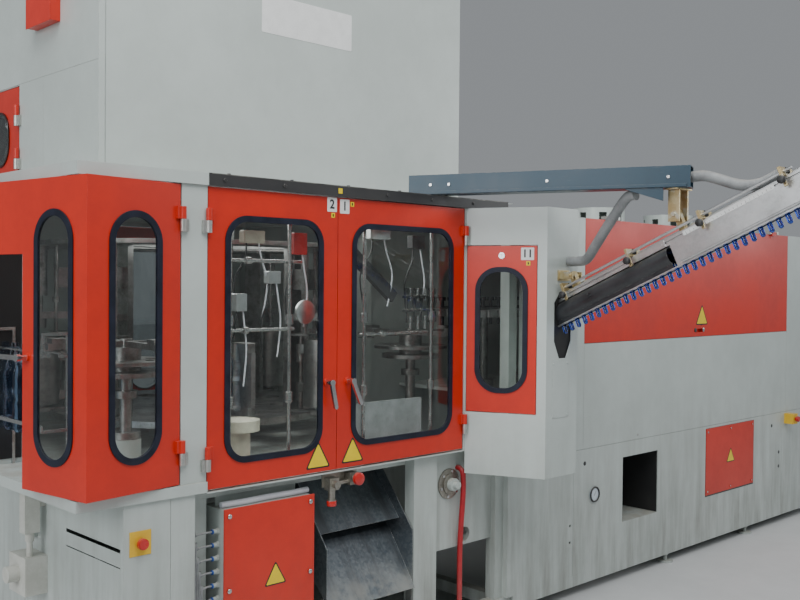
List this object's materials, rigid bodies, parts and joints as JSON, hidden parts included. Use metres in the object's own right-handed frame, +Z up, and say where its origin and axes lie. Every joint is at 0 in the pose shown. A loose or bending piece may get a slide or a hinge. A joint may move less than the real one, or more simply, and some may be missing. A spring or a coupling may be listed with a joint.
{
  "type": "blow moulding machine",
  "caption": "Rotary stretch-blow moulding machine: grey and red cell with round-cornered windows, tall tower, straight heating oven, sloping preform rail on a boom.",
  "frame": {"origin": "on the floor, under the axis of the blow wheel, on the underside of the centre foot", "axes": "+X to the right along the machine's front, towards the oven; +Y into the machine; +Z up"},
  "size_m": [6.0199, 3.8527, 3.1999],
  "materials": {
    "grey_paint": "satin light grey paint, dusty",
    "red_paint": "glossy orange-red paint",
    "black_paint": "black paint, worn edges",
    "blue_paint": "dark teal paint, scratched",
    "gauge_white": "white dial in a dark ring",
    "lamp_steel": "polished reflector and lamps",
    "chain_steel": "oiled chain",
    "hose_grey": "grey plastic hoses",
    "cast_metal": "cast bodies with red knobs",
    "galvanised": "galvanised sheet, dusty",
    "rail_aluminium": "anodised profile",
    "guard_tube": "dark coated tube",
    "zinc_plate": "yellow zinc plating",
    "preform_blue": "clear blue plastic",
    "hinge_white": "bright cast hinge blocks",
    "yellow_plastic": "yellow plate",
    "red_plastic": "red mushroom button",
    "rail_steel": "polished stainless steel",
    "bottle_blue": "clear bluish plastic",
    "white_plastic": "off-white plastic",
    "window_glass": "clear safety pane",
    "black_rubber": "black profile rubber",
    "handle_metal": "polished cast handle",
    "dark_window": "dark pane in a grey seal",
    "machined_steel": "machined and oiled",
    "mould_metal": "mould blocks"
  },
  "bodies": {
    "root": {"main_frame": "grey_paint", "machine_bed": "grey_paint", "bay_frame": "grey_paint", "grey_panels": "grey_paint", "tower_shell": "grey_paint", "infeed_housing": "grey_paint", "oven_frame": "grey_paint", "oven_panels": "grey_paint", "electrical_box": "grey_paint", "tower_box": "red_paint", "oven_cover": "red_paint", "electrical_cover": "red_paint", "header_strip": "black_paint", "boom": "blue_paint", "oven_gauge": "gauge_white", "oven_lamps": "lamp_steel", "spindle_chain": "chain_steel", "hoses": "hose_grey", "regulators": "cast_metal", "discharge_chute": "galvanised", "preform_rail": "rail_aluminium", "rail_tube": "guard_tube", "rail_brackets": "zinc_plate", "preforms": "preform_blue", "hinge_blocks": "hinge_white", "estop_plates": "yellow_plastic", "outfeed_rail": "rail_steel", "bottles": "bottle_blue", "socket_box": "white_plastic"},
    "bay_door": {"bay_door": "red_paint", "bay_glass": "window_glass", "bay_seals": "black_rubber"},
    "bay_handle": {"bay_handle": "handle_metal"},
    "left_door": {"left_door": "red_paint", "left_glass": "window_glass", "left_seal": "black_rubber"},
    "left_handle": {"left_handle": "handle_metal"},
    "right_door": {"right_door": "red_paint", "right_glass": "window_glass", "right_seal": "black_rubber"},
    "right_handle": {"right_handle": "handle_metal"},
    "infeed_door": {"infeed_door": "red_paint", "infeed_glass": "window_glass", "infeed_seal": "black_rubber"},
    "infeed_lock": {"infeed_lock": "handle_metal"},
    "tower_door": {"tower_door": "red_paint", "tower_window": "dark_window"},
    "rear_door": {"rear_door": "red_paint", "rear_window": "dark_window"},
    "oven_flap": {"oven_flap": "red_paint"},
    "left_estop": {"left_estop": "red_plastic"},
    "right_estop": {"right_estop": "red_plastic"},
    "blow_wheel": {"blow_wheel": "machined_steel", "moulds": "mould_metal", "stretch_units": "rail_steel", "blown_bottle": "bottle_blue"},
    "infeed_wheel": {"infeed_wheel": "machined_steel"},
    "outfeed_wheel": {"outfeed_wheel": "machined_steel"},
    "oven_wheel": {"oven_wheel": "machined_steel"},
    "idler_wheel": {"idler_wheel": "machined_steel"}
  },
  "joints": [
    {"name": "bay_door_hinge", "type": "hinge", "parent": "root", "child": "bay_door", "pos_m": [-0.878, -1.312, 1.4865], "axis": [0, 0, 1], "range_deg": [-9, 81]},
    {"name": "bay_handle_turn", "type": "hinge", "parent": "bay_door", "child": "bay_handle", "pos_m": [-1.32908, -1.02098, 1.408], "axis": [-0.9877, -0.1564, 0], "range_deg": [0, 90]},
    {"name": "left_door_hinge", "type": "hinge", "parent": "root", "child": "left_door", "pos_m": [-0.768, -1.312, 1.4685], "axis": [0, 0, -1], "range_deg": [0, 95]},
    {"name": "left_handle_turn", "type": "hinge", "parent": "left_door", "child": "left_handle", "pos_m": [-0.19, -1.3, 1.269], "axis": [0, -1, 0], "range_deg": [-90, 0]},
    {"name": "right_door_hinge", "type": "hinge", "parent": "root", "child": "right_door", "pos_m": [0.652, -1.312, 1.4685], "axis": [0, 0, 1], "range_deg": [0, 75]},
    {"name": "right_handle_turn", "type": "hinge", "parent": "right_door", "child": "right_handle", "pos_m": [-0.074, -1.3, 1.269], "axis": [0, -1, 0], "range_deg": [-25, 65]},
    {"name": "infeed_door_hinge", "type": "hinge", "parent": "root", "child": "infeed_door", "pos_m": [0.80871, -1.59874, 1.47], "axis": [0, 0, 1], "range_deg": [0, 110]},
    {"name": "infeed_lock_turn", "type": "hinge", "parent": "infeed_door", "child": "infeed_lock", "pos_m": [0.73725, -1.45765, 1.814], "axis": [-0.9112, -0.4119, 0], "range_deg": [0, 90]},
    {"name": "tower_door_hinge", "type": "hinge", "parent": "root", "child": "tower_door", "pos_m": [-1.012, -0.17, 2.309], "axis": [0, 0, 1], "range_deg": [0, 100]},
    {"name": "rear_door_hinge", "type": "hinge", "parent": "root", "child": "rear_door", "pos_m": [0.56, 1.012, 1.455], "axis": [0, 0, -1], "range_deg": [0, 100]},
    {"name": "oven_flap_hinge", "type": "hinge", "parent": "root", "child": "oven_flap", "pos_m": [2.8525, -1.308, 2.052], "axis": [-1, 0, 0], "range_deg": [0, 80]},
    {"name": "left_estop_push", "type": "slide", "parent": "root", "child": "left_estop", "axis": [0, 1, 0], "range_m": [0, 0.006], "stiffness_N_per_m": 1500},
    {"name": "right_estop_push", "type": "slide", "parent": "root", "child": "right_estop", "axis": [0, 1, 0], "range_m": [0, 0.006], "stiffness_N_per_m": 1500},
    {"name": "blow_wheel_turn", "type": "hinge", "parent": "root", "child": "blow_wheel", "pos_m": [0, 0, 1.03], "axis": [0, 0, 1], "continuous": true},
    {"name": "infeed_wheel_turn", "type": "hinge", "parent": "root", "child": "infeed_wheel", "pos_m": [0.81469, -0.77582, 1.2], "axis": [0, 0, 1], "continuous": true},
    {"name": "outfeed_wheel_turn", "type": "hinge", "parent": "root", "child": "outfeed_wheel", "pos_m": [-0.81469, -0.77582, 1.2], "axis": [0, 0, 1], "continuous": true},
    {"name": "oven_wheel_turn", "type": "hinge", "parent": "root", "child": "oven_wheel", "pos_m": [1.48542, -0.7, 1.3], "axis": [0, 0, 1], "continuous": true},
    {"name": "idler_wheel_turn", "type": "hinge", "parent": "root", "child": "idler_wheel", "pos_m": [3.721, -0.7, 1.3], "axis": [0, 0, 1], "continuous": true}
  ],
  "couplings": [
    {"joint": "infeed_wheel_turn", "follows": "blow_wheel_turn", "ratio": -2},
    {"joint": "outfeed_wheel_turn", "follows": "blow_wheel_turn", "ratio": -2},
    {"joint": "oven_wheel_turn", "follows": "blow_wheel_turn", "ratio": 0.25},
    {"joint": "idler_wheel_turn", "follows": "blow_wheel_turn", "ratio": 0.25}
  ]
}
